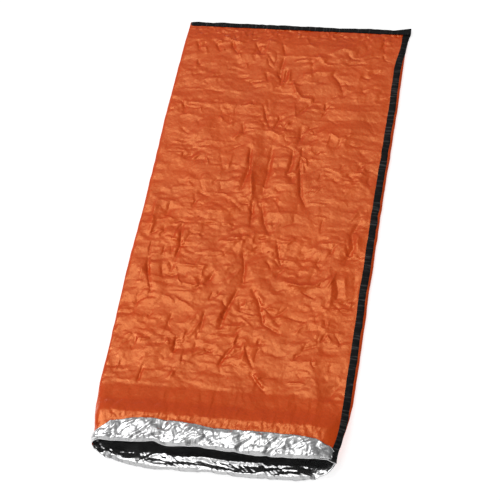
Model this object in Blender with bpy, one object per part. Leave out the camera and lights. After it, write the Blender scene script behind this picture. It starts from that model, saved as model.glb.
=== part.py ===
"""An emergency sleeping bag of metallised film, laid out flat with its mouth turned back.

The bag is one thin film, folded along its left side, seamed along the right side and the foot,
and bound there with two black tapes. It lies on its back on the surface z = 0, with its foot at
+Y and its mouth at -Y. The mouth stands open a little, and its rim is turned inside out as a cuff.

Units are metres. `along` is the distance from the front of the mouth towards the foot, `across`
is the distance from the bag's middle line towards its taped right side, and `around` is the
distance round the bag's section from the outermost point of a side, positive over the top and
negative underneath.
"""

import math

import bpy
import numpy as np

# Driving dimensions
LENGTH = 2.054  # from the front of the mouth to the foot tape's outer edge, as laid
HALF_WIDTH = 0.460
FOOT_SLANT = 0.008  # how much further back the foot lies at its left end than in the middle
ORIGIN_ACROSS = 0.0045  # the frame's origin is in the middle of the bag's overall size
ORIGIN_ALONG = LENGTH / 2 + 0.0039
FILM = 0.0012  # thickness of the film
LOFT = 0.018  # height of the empty bag where it lies flat
SIDE_RUN = 0.020  # how far the side's curve reaches in from the edge
MOUTH_SIDE_RUN = 0.042
FLAT_SEAM_FROM, FLAT_SEAM_TO = 0.24, 0.36  # the seam lies flat up to here, and no longer from here on
FLAT_SEAM_POWER = 1.65  # shape of the side there: 1 is round, 2 is two straight slopes that meet at an edge
FLAT_SEAM_RUN = 1.45  # how much further in the side's slopes reach there
MOUTH_HALF_WIDTH = 0.425

# The turned-back rim
BEND_RADIUS = 0.0016  # of the film's outer face where it turns back
CUFF_GAP = 2 * BEND_RADIUS  # between the film and the cuff lying on it
CUFF_STACK = CUFF_GAP + FILM
OFF_CUFF_FROM, OFF_CUFF_TO = 0.11, 0.18  # where the lower film comes down from its cuff to the surface

# The two bindings
TAPE = 0.0010  # thickness of the binding tape
TAPE_GAP = 0.0004  # between a tape and the film
TAPE_NEAR, TAPE_FAR = 0.012, 0.038  # the side tape's two edges, measured round the section
TAPE_START = 0.044  # first row of the film that the side tape lies on, behind the cuff
TAPE_DRIFT = 0.0105  # how much nearer the edge the side tape lies at the mouth and at the foot
MOUTH_DRIFT_FROM, MOUTH_DRIFT_TO = 0.10, 0.36
FOOT_DRIFT_FROM, FOOT_DRIFT_TO = 1.84, 1.95
FOOT_BINDING = 0.020  # how far the foot tape reaches over the film
FOOT_TAPE_ENDS = (-0.442, 0.467)
SEAM_HEIGHT = 0.0046  # of the seamed film inside the foot tape
SEAM_START = LENGTH - FOOT_BINDING - TAPE_GAP
SEAM_RISE_FROM = 1.985  # where the lower film starts to rise on to the foot tape

# How the bag's section changes along its length
SECTIONS = (  # along, left half width, right half width, height, side run
    (0.000, 0.414, 0.430, 0.049, MOUTH_SIDE_RUN),
    (0.070, 0.418, 0.434, 0.051, MOUTH_SIDE_RUN),
    (0.100, 0.420, 0.438, 0.054, MOUTH_SIDE_RUN),
    (0.140, 0.425, 0.447, 0.058, MOUTH_SIDE_RUN),
    (0.190, 0.433, 0.454, 0.057, MOUTH_SIDE_RUN),
    (0.250, 0.443, 0.461, 0.037, 0.034),
    (0.320, 0.452, 0.465, 0.022, 0.025),
    (0.400, 0.454, 0.464, LOFT, SIDE_RUN),
    (0.575, 0.454, 0.463, LOFT, SIDE_RUN),
    (0.800, 0.458, HALF_WIDTH, LOFT, SIDE_RUN),
    (1.180, 0.453, HALF_WIDTH, LOFT, SIDE_RUN),
    (1.630, 0.455, 0.463, LOFT, SIDE_RUN),
    (1.940, 0.450, 0.459, LOFT, SIDE_RUN),
    (1.985, 0.449, 0.461, 0.0130, 0.016),
    (2.018, 0.448, 0.461, 0.0066, 0.009),
    (SEAM_START, 0.448, 0.462, SEAM_HEIGHT, 0.005),
    (LENGTH, 0.448, 0.462, SEAM_HEIGHT, 0.005),
)

# Where the rim turns back, and where the cuff's free edge lies
UPPER_RIM = (  # across, rim along, cuff edge along
    (-0.430, 0.066, 0.090),
    (-0.395, 0.070, 0.104),
    (-0.345, 0.071, 0.148),
    (-0.265, 0.074, 0.165),
    (-0.190, 0.083, 0.170),
    (-0.145, 0.071, 0.166),
    (-0.030, 0.074, 0.151),
    (0.190, 0.062, 0.150),
    (0.340, 0.068, 0.142),
    (0.395, 0.073, 0.122),
    (0.430, 0.069, 0.094),
)
LOWER_RIM = (  # across, rim along, cuff edge along
    (-0.430, 0.066, 0.090),
    (-0.405, 0.056, 0.088),
    (-0.360, 0.031, 0.082),
    (-0.300, 0.014, 0.076),
    (-0.180, 0.002, 0.070),
    (0.000, 0.005, 0.066),
    (0.110, 0.000, 0.066),
    (0.300, 0.006, 0.070),
    (0.370, 0.016, 0.078),
    (0.405, 0.036, 0.086),
    (0.430, 0.069, 0.094),
)

# The main folds of the upper film: soft ridges (positive) and troughs (negative)
FOLDS = (  # name, across, along, half length, half width, height, turn in degrees from the length
    ("centre_upper", -0.01, 1.62, 0.36, 0.040, -0.0024, 0),
    ("centre_lower", -0.01, 0.80, 0.42, 0.040, -0.0026, 0),
    ("left_of_centre", -0.08, 1.28, 0.24, 0.040, 0.0034, -4),
    ("right_of_centre", 0.10, 1.30, 0.22, 0.040, 0.0036, 6),
    ("lower_right_slant", 0.12, 0.68, 0.18, 0.045, 0.0036, 34),
    ("lower_left_slant", -0.07, 0.66, 0.16, 0.040, 0.0030, -24),
    ("right_edge_slant", 0.35, 0.96, 0.20, 0.045, 0.0040, -14),
    ("right_edge_lower", 0.32, 0.74, 0.14, 0.040, 0.0034, 4),
    ("left_edge", -0.35, 0.86, 0.20, 0.045, 0.0032, 6),
    ("left_patch", -0.29, 0.52, 0.10, 0.075, 0.0030, 0),
    ("left_middle_patch", -0.17, 0.95, 0.12, 0.065, 0.0030, 0),
    ("right_hollow", 0.22, 0.92, 0.10, 0.080, -0.0026, 0),
    ("foot_right_patch", 0.20, 1.84, 0.13, 0.070, 0.0034, -20),
    ("foot_left_hollow", -0.24, 1.84, 0.13, 0.070, -0.0024, 20),
    ("upper_right_slant", 0.26, 1.52, 0.18, 0.050, 0.0030, -28),
    ("upper_left_slant", -0.28, 1.46, 0.18, 0.050, 0.0028, 24),
    ("mouth_crest_left", -0.24, 0.15, 0.08, 0.080, 0.0030, 0),
    ("mouth_crest_dip", -0.14, 0.10, 0.10, 0.040, -0.0030, 0),
)
FOLD_FREE_EDGE = 0.06  # the folds fade out this far in from each side, where the tape lies

# Where the film is sampled
EDGE_LINES = (0.0, TAPE_NEAR, (TAPE_NEAR + TAPE_FAR) / 2, TAPE_FAR)
FIELD_LINES = 10  # lines between the side's last edge line and the middle
MOUTH_STATIONS = (0.0, 0.022, TAPE_START, 0.066, 0.09, 0.12, 0.15, 0.18, 0.215, 0.25, 0.29, 0.34, 0.40)
FOOT_STATIONS = (1.94, 1.985, 2.018, SEAM_START)
FIELD_STEPS = 23
BEND_STEPS = 6
CUFF_STEPS = 4
OUTLINE_POINTS = 60  # points that measure a side's curve

ORANGE = (0.56, 0.10, 0.025, 1.0)
BLACK = (0.010, 0.010, 0.011, 1.0)


def smooth(value, low, high):
    """0 below low and 1 above high, with a smooth rise between them."""
    t = min(1.0, max(0.0, (value - low) / (high - low)))
    return t * t * (3 - 2 * t)


def row_of(table, value):
    """A table's other columns, interpolated where its first column has this value."""
    columns = np.array(table).T
    return [float(np.interp(value, columns[0], column)) for column in columns[1:]]


def side_shape(along, side):
    """Half width, half height, side run and side power of the bag's section."""
    left, right, height, run = row_of(SECTIONS, along)
    if side < 0:
        return left, height / 2, run, 1.0
    flat_seam = 1 - smooth(along, FLAT_SEAM_FROM, FLAT_SEAM_TO)
    run *= 1 + (FLAT_SEAM_RUN - 1) * flat_seam
    return right, height / 2, run, 1 + (FLAT_SEAM_POWER - 1) * flat_seam


def side_travel(along, side):
    """Angles round a side's curve, and the way round the section from its outermost point to each."""
    _, rise, run, power = side_shape(along, side)
    angles = np.linspace(0, math.pi / 2, OUTLINE_POINTS)
    across = run * np.abs(np.cos(angles)) ** power
    up = rise * np.sin(angles) ** power
    steps = np.hypot(np.diff(across), np.diff(up))
    return angles, np.concatenate([[0], np.cumsum(steps)])


def half_girth(along, side):
    """Distance round the section from the outermost point of a side to the middle."""
    half_width, _, run, _ = side_shape(along, side)
    return half_width - run + float(side_travel(along, side)[1][-1])


def film_floor(along):
    """Height of the lower film's outer face: on the cuff at the mouth, on the binding at the foot."""
    on_cuff = 1 - smooth(along, OFF_CUFF_FROM, OFF_CUFF_TO)
    on_tape = smooth(along, SEAM_RISE_FROM, SEAM_START)
    return CUFF_STACK * on_cuff + (TAPE + TAPE_GAP) * on_tape


def fold_height(across, along):
    """Sum of the main folds at a point of the upper film."""
    total = 0.0
    for _, x, y, half_length, half_width, height, turn in FOLDS:
        angle = math.radians(turn)
        dx, dy = across - x, along - y
        lengthwise = dy * math.cos(angle) - dx * math.sin(angle)
        crosswise = dx * math.cos(angle) + dy * math.sin(angle)
        total += height * math.exp(-((lengthwise / half_length) ** 2) - (crosswise / half_width) ** 2)
    edge = HALF_WIDTH - abs(across)
    return total * smooth(edge, TAPE_FAR, TAPE_FAR + FOLD_FREE_EDGE)


def placed(across, along, height):
    """A point in the bag's frame. Rows towards the foot lie at a growing slant."""
    slant = FOOT_SLANT * across / HALF_WIDTH * along / LENGTH
    return np.array([across - ORIGIN_ACROSS, along - slant - ORIGIN_ALONG, height])


def film_point(along, side, around, offset=0.0):
    """A point of the film's outer face at this section, moved outwards by offset."""
    half_width, rise, run, power = side_shape(along, side)
    angles, travelled = side_travel(along, side)
    distance, up = abs(around), math.copysign(1, around)
    if distance < travelled[-1]:
        angle = float(np.interp(distance, travelled, angles))
        level, upright = math.cos(angle), math.sin(angle)
        across, height = half_width - run + run * level**power, rise * upright**power
        normal = np.array([level ** (2 - power) / run, upright ** (2 - power) / rise])
        normal /= np.linalg.norm(normal)
    else:
        across, height = half_width - run - (distance - travelled[-1]), rise
        normal = np.array([0.0, 1.0])
    across = side * (across + offset * normal[0])
    height = up * (height + offset * normal[1])
    if up > 0:
        height += fold_height(across, along)
    return placed(across, along, film_floor(along) + rise + height)


def film_lines():
    """The lines that run along the film, once round the bag.

    Each is (side, kind, value, over): an edge line lies at a distance from the side's outermost
    point, a field line at a share of the way from the last edge line to the middle, and over is
    1 on the upper film and -1 on the lower one.
    """
    edge = [("edge", distance) for distance in EDGE_LINES]
    half = edge + [("field", step / (FIELD_LINES + 1)) for step in range(1, FIELD_LINES + 1)]
    upper = [(1, *line, 1) for line in half] + [(1, "field", 1.0, 1)]
    upper += [(-1, *line, 1) for line in half[::-1]]
    lower = [(-1, *line, -1) for line in half[1:]] + [(-1, "field", 1.0, -1)]
    lower += [(1, *line, -1) for line in half[:0:-1]]
    return upper + lower


def around_of(line, along):
    """Where a line of the film passes this section."""
    side, kind, value, over = line
    at_mouth = 1 - smooth(along, MOUTH_DRIFT_FROM, MOUTH_DRIFT_TO)
    at_foot = smooth(along, FOOT_DRIFT_FROM, FOOT_DRIFT_TO)
    drift = TAPE_DRIFT * (at_mouth + at_foot)
    if kind == "edge":
        return over * max(0.0, value - drift)
    return over * (TAPE_FAR - drift + value * (half_girth(along, side) - TAPE_FAR + drift))


def rim_of(line):
    """Where the rim turns back on this line, and where the cuff's free edge lies."""
    side, kind, value, over = line
    way_in = value if kind == "edge" else TAPE_FAR + value * (MOUTH_HALF_WIDTH - TAPE_FAR)
    rim, cuff_edge = row_of(UPPER_RIM if over > 0 else LOWER_RIM, side * (MOUTH_HALF_WIDTH - way_in))
    return rim + BEND_RADIUS + FILM, cuff_edge


def film_stations():
    """Where the film's rows cross its straight part, from the mouth to the foot."""
    field = np.linspace(MOUTH_STATIONS[-1], FOOT_STATIONS[0], FIELD_STEPS + 1)[1:-1]
    return [*MOUTH_STATIONS, *field, *FOOT_STATIONS, LENGTH - TAPE - TAPE_GAP]


def along_of(line, station):
    """Where a row crosses this line: the rows follow the rim at the mouth and straighten behind it."""
    rim, _ = rim_of(line)
    return station + rim * max(0.0, 1 - station / MOUTH_STATIONS[-1])


def film_rows(lines):
    """The film's outer face as rows once round the bag, from the foot to the cuff's free edge."""

    def row(along_on, offset=0.0, shift=0.0):
        points = []
        for line in lines:
            along = along_on(line)
            points.append(film_point(along, line[0], around_of(line, along), offset) + (0, shift, 0))
        return points

    rows = [row(lambda line, s=station: along_of(line, s)) for station in film_stations()[::-1]]
    for step in range(1, BEND_STEPS):
        angle = math.pi * step / BEND_STEPS
        out, forward = BEND_RADIUS * (1 - math.cos(angle)), BEND_RADIUS * math.sin(angle)
        rows.append(row(lambda line: rim_of(line)[0], out, -forward))
    for step in range(CUFF_STEPS + 1):
        share = step / CUFF_STEPS
        rows.append(row(lambda line, s=share: (1 - s) * rim_of(line)[0] + s * rim_of(line)[1], CUFF_GAP))
    return rows


def foot_cap(count):
    """Faces across the foot's end, between the upper half of the first row and the lower half."""
    cap = []
    for upper in range(count // 2):
        corners = [upper + 1, upper, (count - upper) % count, count - upper - 1]
        cap.append(tuple(dict.fromkeys(corners)))
    return cap


def sheet_object(name, rows, closed, thickness, offset, material):
    """A sheet through rows of points, thickened outwards (offset 1) or inwards (-1).

    A closed sheet runs once round in each row, and its first row is capped.
    """
    count = len(rows[0])
    points = [tuple(point) for row in rows for point in row]
    faces = []
    for r in range(len(rows) - 1):
        for c in range(count if closed else count - 1):
            here, beside = r * count + c, r * count + (c + 1) % count
            faces.append((here, beside, beside + count, here + count))
    if closed:
        faces += foot_cap(count)
    mesh = bpy.data.meshes.new(name)
    mesh.from_pydata(points, [], faces)
    mesh.shade_smooth()
    mesh.materials.append(material)
    obj = bpy.data.objects.new(name, mesh)
    bpy.context.scene.collection.objects.link(obj)
    thicken = obj.modifiers.new("thickness", "SOLIDIFY")
    thicken.thickness = thickness
    thicken.offset = offset
    thicken.use_even_offset = True
    return obj


def finish(name, colour, roughness):
    material = bpy.data.materials.new(name)
    material.use_nodes = True
    shader = material.node_tree.nodes["Principled BSDF"]
    shader.inputs["Base Color"].default_value = colour
    shader.inputs["Roughness"].default_value = roughness
    return material


def build_film():
    """The bag itself: one film, closed at the foot and open at the mouth."""
    material = finish("orange_film", ORANGE, 0.38)
    return sheet_object("bag_film", film_rows(film_lines()), True, FILM, -1, material)


def build_side_tape(material):
    """The binding along the right side's seam, lying on the film from the cuff to the foot tape."""
    lines = [(1, "edge", distance, 1) for distance in EDGE_LINES[:0:-1]]
    stations = [station for station in film_stations() if TAPE_START <= station <= SEAM_START]
    rows = []
    for station in stations:
        alongs = [along_of(line, station) for line in lines]
        rows.append([film_point(a, 1, around_of(line, a), TAPE_GAP) for line, a in zip(lines, alongs)])
    return sheet_object("side_tape", rows, False, TAPE, 1, material)


def build_foot_tape(material):
    """The binding folded over the foot's seam: over the top, down the end and back underneath."""
    top = 2 * TAPE + 2 * TAPE_GAP + SEAM_HEIGHT
    profile = [(LENGTH - FOOT_BINDING, 0), (LENGTH, 0), (LENGTH, top), (LENGTH - FOOT_BINDING, top)]
    rows = [[placed(across, along, height) for along, height in profile] for across in FOOT_TAPE_ENDS]
    return sheet_object("foot_tape", rows, False, TAPE, -1, material)


def main():
    for obj in list(bpy.data.objects):
        bpy.data.objects.remove(obj)
    tape = finish("black_tape", BLACK, 0.75)
    build_film()
    build_side_tape(tape)
    build_foot_tape(tape)


main()
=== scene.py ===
"""The looks of an emergency sleeping bag of metallised film, laid out flat with its mouth turned back.

The film is built as two thin sheets, over the bag and under it, that meet along the left fold, the
right seam and the foot. Each is a closed shell, orange outside and silver inside, on the smooth
surface that the CAD's solid follows. Listed creases, the folds left by packing and random
crumples stand on that surface.

Units are metres. `along` is the distance from the front of the mouth towards the foot, `across` the
distance from the bag's middle line towards its taped right side.
"""

import math

import bpy
import numpy as np
from mathutils import Matrix, Vector


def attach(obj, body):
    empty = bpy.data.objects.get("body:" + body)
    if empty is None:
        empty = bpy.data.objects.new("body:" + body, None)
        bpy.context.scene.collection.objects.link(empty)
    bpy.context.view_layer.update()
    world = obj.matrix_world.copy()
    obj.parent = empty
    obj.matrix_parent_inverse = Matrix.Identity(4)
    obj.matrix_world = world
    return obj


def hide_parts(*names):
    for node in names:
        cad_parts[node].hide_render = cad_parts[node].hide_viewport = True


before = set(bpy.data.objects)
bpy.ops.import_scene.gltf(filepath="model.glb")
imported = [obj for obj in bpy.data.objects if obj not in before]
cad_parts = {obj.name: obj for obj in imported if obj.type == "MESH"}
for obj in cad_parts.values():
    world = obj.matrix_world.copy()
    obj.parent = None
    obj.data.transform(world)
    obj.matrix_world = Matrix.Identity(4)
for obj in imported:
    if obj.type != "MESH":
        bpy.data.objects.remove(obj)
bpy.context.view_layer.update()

# The bag's sizes, as in the CAD
LENGTH = 2.054  # from the front of the mouth to the foot tape's outer edge, as laid
HALF_WIDTH = 0.460
FOOT_SLANT = 0.008  # how much further back the foot lies at its left end than in the middle
ORIGIN_ACROSS = 0.0045  # the frame's origin is in the middle of the bag's overall size
ORIGIN_ALONG = LENGTH / 2 + 0.0039
LOFT = 0.018  # height of the empty bag where it lies flat
SIDE_RUN = 0.020  # how far the side's curve reaches in from the edge
MOUTH_SIDE_RUN = 0.042
FLAT_SEAM_FADE = (0.24, 0.36)  # the taped side lies as a flat seam before this, and no longer after it
FLAT_SEAM_POWER, FLAT_SEAM_RUN = 0.65, 0.45  # what the flat seam adds to the side's power and run
SEAM_HEIGHT = 0.0046  # of the seamed film inside the foot tape
SEAM_RISE_FROM = 1.985  # where the lower film starts to rise on to the foot tape
OFF_CUFF = (0.11, 0.18)  # where the lower film comes down from its cuff to the surface

# The film as it is drawn
FILM = 0.0008  # its thickness
CUFF_EXTRA = 0.0008  # how much thicker it is drawn where it is turned back
UPPER_BEND, LOWER_BEND, SIDE_BEND = 0.0022, 0.0019, 0.0020  # radius of the rim's bend
BEND_WAVES = ((0.35, 0.012),)  # how much that radius varies, as a share, and over what length
MOUTH_HALF_WIDTH = 0.430
RIM_ALONG = 0.066  # about where the rim lies at the two sides
FILM_END = LENGTH - 0.0015
FOOT_CLOSING = (LENGTH - 0.012, FILM_END)  # where the upper and the lower film meet inside the foot tape

# The two bindings as they are drawn
FOOT_BINDING = 0.025  # how far the foot tape reaches over the film
SEAM_START = LENGTH - FOOT_BINDING
FOOT_TAPE_ENDS = (-0.4455, 0.4715)
ON_FOOT_TAPE = 0.0014  # how high the lower film lies on the foot tape's lower half
TAPE_NEAR, TAPE_FAR = 0.012, 0.038  # the side tape's two edges, measured round the section
TAPE_START, TAPE_END = 0.072, LENGTH - 0.004
TAPE_STEP = 0.0025  # between two rows of either tape

SECTIONS = (  # along, left half width, right half width, height, side run
    (0.000, 0.414, 0.430, 0.049, MOUTH_SIDE_RUN),
    (0.070, 0.418, 0.434, 0.051, MOUTH_SIDE_RUN),
    (0.100, 0.420, 0.438, 0.054, MOUTH_SIDE_RUN),
    (0.140, 0.425, 0.447, 0.058, MOUTH_SIDE_RUN),
    (0.190, 0.433, 0.454, 0.057, MOUTH_SIDE_RUN),
    (0.250, 0.443, 0.461, 0.037, 0.034),
    (0.320, 0.452, 0.465, 0.022, 0.025),
    (0.400, 0.454, 0.464, LOFT, SIDE_RUN),
    (0.575, 0.454, 0.463, LOFT, SIDE_RUN),
    (0.800, 0.458, HALF_WIDTH, LOFT, SIDE_RUN),
    (1.180, 0.453, HALF_WIDTH, LOFT, SIDE_RUN),
    (1.630, 0.455, 0.463, LOFT, SIDE_RUN),
    (1.940, 0.450, 0.459, LOFT, SIDE_RUN),
    (1.985, 0.449, 0.461, 0.0130, 0.016),
    (2.018, 0.448, 0.461, 0.0066, 0.009),
    (SEAM_START, 0.448, 0.462, SEAM_HEIGHT, 0.005),
    (LENGTH, 0.448, 0.462, SEAM_HEIGHT, 0.005),
)
UPPER_RIM = (  # in mm: across, rim along, cuff edge along
    (-430, 66, 90),
    (-395, 70, 104),
    (-345, 71, 148),
    (-265, 74, 165),
    (-190, 83, 170),
    (-145, 71, 166),
    (-30, 74, 151),
    (190, 62, 150),
    (340, 68, 142),
    (395, 73, 122),
    (430, 69, 94),
)
LOWER_RIM = (  # in mm: across, rim along, cuff edge along
    (-430, 66, 90),
    (-405, 56, 88),
    (-360, 31, 82),
    (-300, 14, 76),
    (-180, 2, 70),
    (0, 5, 66),
    (110, 0, 66),
    (300, 6, 70),
    (370, 16, 78),
    (405, 36, 86),
    (430, 69, 94),
)
FOLDS = (  # across, along, half length, half width, height, turn in degrees from the length
    (-0.01, 1.62, 0.36, 0.04, -0.0024, 0),
    (-0.01, 0.8, 0.42, 0.04, -0.0026, 0),
    (-0.08, 1.28, 0.24, 0.04, 0.0034, -4),
    (0.1, 1.3, 0.22, 0.04, 0.0036, 6),
    (0.12, 0.68, 0.18, 0.045, 0.0036, 34),
    (-0.07, 0.66, 0.16, 0.04, 0.003, -24),
    (0.35, 0.96, 0.2, 0.045, 0.004, -14),
    (0.32, 0.74, 0.14, 0.04, 0.0034, 4),
    (-0.35, 0.86, 0.2, 0.045, 0.0032, 6),
    (-0.29, 0.52, 0.1, 0.075, 0.003, 0),
    (-0.17, 0.95, 0.12, 0.065, 0.003, 0),
    (0.22, 0.92, 0.1, 0.08, -0.0026, 0),
    (0.2, 1.84, 0.13, 0.07, 0.0034, -20),
    (-0.24, 1.84, 0.13, 0.07, -0.0024, 20),
    (0.26, 1.52, 0.18, 0.05, 0.003, -28),
    (-0.28, 1.46, 0.18, 0.05, 0.0028, 24),
    (-0.24, 0.15, 0.08, 0.08, 0.003, 0),
    (-0.14, 0.1, 0.1, 0.04, -0.003, 0),
)

# Creases of the upper film: sharp ridges (positive) and valleys (negative)
CREASES = (  # in mm: half width, height, then the crease's points as (across, along)
    (6, -2.8, (-395, 1945), (-375, 1885)),
    (6, -3, (-312, 1930), (-290, 1890)),
    (7, -3.4, (-252, 1950), (-232, 1905), (-208, 1880)),
    (7, -3.4, (-152, 1945), (-112, 1880)),
    (6, -2.6, (-35, 1935), (-15, 1880)),
    (8, -3.2, (-22, 1875), (-26, 1800), (-15, 1745)),
    (6, -3, (0, 1815), (-4, 1745)),
    (6, -2.8, (-82, 1790), (-66, 1735)),
    (5, 2.8, (10, 1810), (16, 1745)),
    (9, 3.6, (30, 1755), (55, 1695), (78, 1665), (130, 1660)),
    (7, -2.6, (180, 1800), (220, 1755), (250, 1680)),
    (6, -2.4, (140, 1660), (105, 1615), (70, 1570)),
    (6, -2.8, (-65, 1620), (-45, 1560), (-20, 1505)),
    (5, -2.4, (10, 1570), (4, 1530), (-10, 1500)),
    (14, 3, (165, 1905), (215, 1930), (272, 1915)),
    (16, 3.2, (70, 1775), (125, 1800), (190, 1800)),
    (12, 2.6, (115, 1885), (150, 1855)),
    (8, 2.6, (-285, 1975), (-250, 1950), (-200, 1940)),
    (8, 2.4, (-110, 1960), (-60, 1950)),
    (6, -2.4, (-135, 1530), (-120, 1470)),
    (12, 2.6, (-30, 1500), (20, 1470), (60, 1490)),
    (8, 2.6, (-160, 1440), (-130, 1480)),
    (8, -2.6, (100, 1530), (105, 1470), (98, 1400)),
    (10, 2.8, (215, 1500), (255, 1470), (285, 1480)),
    (9, -4.4, (-85, 1420), (-70, 1310), (-86, 1200)),
    (10, 4, (-70, 1350), (-52, 1240), (-35, 1150)),
    (9, -4, (3, 1420), (4, 1300), (0, 1180)),
    (8, -4, (88, 1410), (90, 1340), (78, 1270)),
    (12, -3.6, (100, 1290), (105, 1240)),
    (7, -3.8, (120, 1350), (138, 1250), (148, 1190), (180, 1130)),
    (7, -3.4, (-35, 1160), (-25, 1090), (-20, 1030)),
    (8, -3.4, (0, 1160), (28, 1060), (60, 995)),
    (6, -3.4, (-283, 1030), (-272, 930), (-282, 850)),
    (6, -3.6, (-385, 870), (-372, 800), (-345, 720)),
    (12, -4.2, (392, 1100), (364, 1025), (378, 970), (356, 885)),
    (12, 2.2, (406, 1060), (388, 1005), (398, 930)),
    (7, -2.6, (400, 860), (412, 760), (422, 670)),
    (6, -3.4, (90, 980), (105, 920), (122, 870)),
    (7, 1.8, (310, 850), (324, 780), (326, 690)),
    (6, -2.2, (334, 820), (350, 770), (346, 720)),
    (8, 1.6, (362, 850), (370, 800), (380, 735)),
    (14, 3.4, (130, 800), (200, 780), (260, 785), (320, 830)),
    (6, -3, (-35, 940), (-12, 850), (-5, 760)),
    (9, -4.4, (28, 760), (78, 690), (160, 605)),
    (8, -4, (60, 720), (98, 610), (170, 570)),
    (10, 3.6, (50, 750), (92, 670), (150, 620)),
    (7, -3.8, (-20, 755), (-50, 650), (-58, 570)),
    (6, -3, (-125, 650), (-128, 555)),
    (5, -4, (-210, 530), (-208, 462)),
    (6, -3, (20, 535), (-12, 480), (-38, 425)),
    (6, -3.2, (48, 510), (70, 460), (92, 420)),
    (5, -3.4, (-308, 405), (-314, 325)),
    (7, -3.4, (82, 405), (120, 360), (162, 315)),
    (8, 3, (100, 400), (140, 350)),
    (20, -4, (420, 400), (385, 350), (370, 300)),
    (10, 3.4, (-400, 1140), (-405, 1060), (-395, 960)),
    (12, -3, (-350, 1130), (-352, 1050)),
    (7, 2.6, (-130, 960), (-80, 955), (-30, 965)),
    (7, 2.6, (-270, 840), (-200, 838), (-150, 842)),
    (8, -3, (-120, 820), (-150, 760)),
)


def in_metres(rows):
    """A table's rows, turned from millimetres into metres."""
    return [[np.divide(part, 1000) for part in row] for row in rows]


def smooth(value, low, high):
    """0 below low and 1 above high, with a smooth rise between them."""
    t = np.clip((np.asarray(value, float) - low) / (high - low), 0, 1)
    return t * t * (3 - 2 * t)


def column(table, number, at):
    """One column of a table, interpolated between the places that its rows start with."""
    values = np.array([[row[0], row[number]] for row in table]).T
    return np.interp(at, values[0], values[1])


# ---- random fields. A seed or a row is any number that another field doesn't have

PRIME_I, PRIME_J, PRIME_SEED, PRIME_MIX = 374761393, 668265263, 974634777, 1274126177
LOW_31_BITS, LOW_16_BITS = 0x7FFFFFFF, 0xFFFF
CELL_MARGIN = 0.1  # how far a cell's random point stays from the cell's sides
FACET_GAIN = 2.2  # brings the facets to about -1 to 1
WARP_LENGTH = 1.7  # length of the waves that warp the facets, in facet sizes


def hashed(i, j, seed):
    """A repeatable random number from 0 to 1 for each whole-numbered cell."""
    n = (i * PRIME_I + j * PRIME_J + seed * PRIME_SEED) & LOW_31_BITS
    n = ((n ^ (n >> 13)) * PRIME_MIX) & LOW_31_BITS
    return ((n ^ (n >> 16)) & LOW_16_BITS) / LOW_16_BITS


def value_noise(x, y, seed):
    """Smooth noise from -1 to 1 with features about one unit across."""
    i, j = np.floor(x).astype(np.int64), np.floor(y).astype(np.int64)
    u, v = x - i, y - j
    u, v = u * u * (3 - 2 * u), v * v * (3 - 2 * v)
    a, b = hashed(i, j, seed), hashed(i + 1, j, seed)
    c, d = hashed(i, j + 1, seed), hashed(i + 1, j + 1, seed)
    return 2 * ((a * (1 - u) + b * u) * (1 - v) + (c * (1 - u) + d * u) * v) - 1


def nearest_squared(x, y, seed):
    """Squared distance to the nearest of random points, one in each unit cell."""
    i, j = np.floor(x).astype(np.int64), np.floor(y).astype(np.int64)
    best = np.full(x.shape, np.inf)
    for di in (-1, 0, 1):
        for dj in (-1, 0, 1):
            px = i + di + CELL_MARGIN + (1 - 2 * CELL_MARGIN) * hashed(i + di, j + dj, seed)
            py = j + dj + CELL_MARGIN + (1 - 2 * CELL_MARGIN) * hashed(i + di, j + dj, seed + 57)
            best = np.minimum(best, (x - px) ** 2 + (y - py) ** 2)
    return best


def facets(x, y, size, seed, stretch, warp):
    """Crumpled paper: flat facets between sharp ridges and valleys, from about -1 to 1."""
    wx = x + warp * size * value_noise(x / size / WARP_LENGTH, y / size / WARP_LENGTH, seed + 11)
    wy = y + warp * size * value_noise(x / size / WARP_LENGTH, y / size / WARP_LENGTH, seed + 12)
    u, v = wx / size, wy / (size * stretch)
    return FACET_GAIN * (nearest_squared(u, v, seed) - nearest_squared(u, v, seed + 101))


def slanted(across, along, angle):
    """The same places in axes turned by this angle."""
    c, s = math.cos(angle), math.sin(angle)
    return c * across + s * along, c * along - s * across


def crumples(across, along, layers, base=0.0):
    """A base height with layers of facets: (depth, size, seed, stretch, warp, turn in degrees) each."""
    total = base
    for depth, size, seed, stretch, warp, turn in layers:
        u, v = slanted(across, along, math.radians(turn))
        total = total + depth * facets(u, v, size, seed, stretch, warp)
    return total


def waves(place, row, seed, layers):
    """Uneven waves along one line, different in each row. Each layer is (height, length)."""
    total = 0.0
    for number, (height, length) in enumerate(layers):
        total = total + height * value_noise(place / length, 0 * place + row, seed + number)
    return total


# ---- the film's relief

CREASE_REACH = 6  # how far a crease is felt, in half widths
CREASE_SHARPNESS = 1.25


def crease_height(across, along, table):
    """The creases of one table: each has a sharp middle line and fades out at its ends."""
    total = np.zeros(across.shape)
    for half_width, height, *points in table:
        reach = CREASE_REACH * half_width
        points = np.array(points)
        low, high = points.min(0) - reach, points.max(0) + reach
        near = (across > low[0]) & (across < high[0]) & (along > low[1]) & (along < high[1])
        if not near.any():
            continue
        p = np.stack([across[near], along[near]], axis=-1)
        lengths = np.linalg.norm(np.diff(points, axis=0), axis=1)
        whole, before = lengths.sum(), 0.0
        distance = np.full(len(p), np.inf)
        share = np.zeros(len(p))
        for a, b, length in zip(points[:-1], points[1:], lengths):
            t = np.clip(((p - a) @ (b - a)) / length**2, 0, 1)
            gap = np.linalg.norm(p - a - t[:, None] * (b - a), axis=1)
            closer = gap < distance
            distance[closer] = gap[closer]
            share[closer] = (before + t[closer] * length) / whole
            before += length
        fade = np.sqrt(np.clip(4 * share * (1 - share), 0, 1))
        profile = np.exp(-np.abs(distance / half_width) ** CREASE_SHARPNESS)
        total[near] += height * fade * profile
    return total


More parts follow.
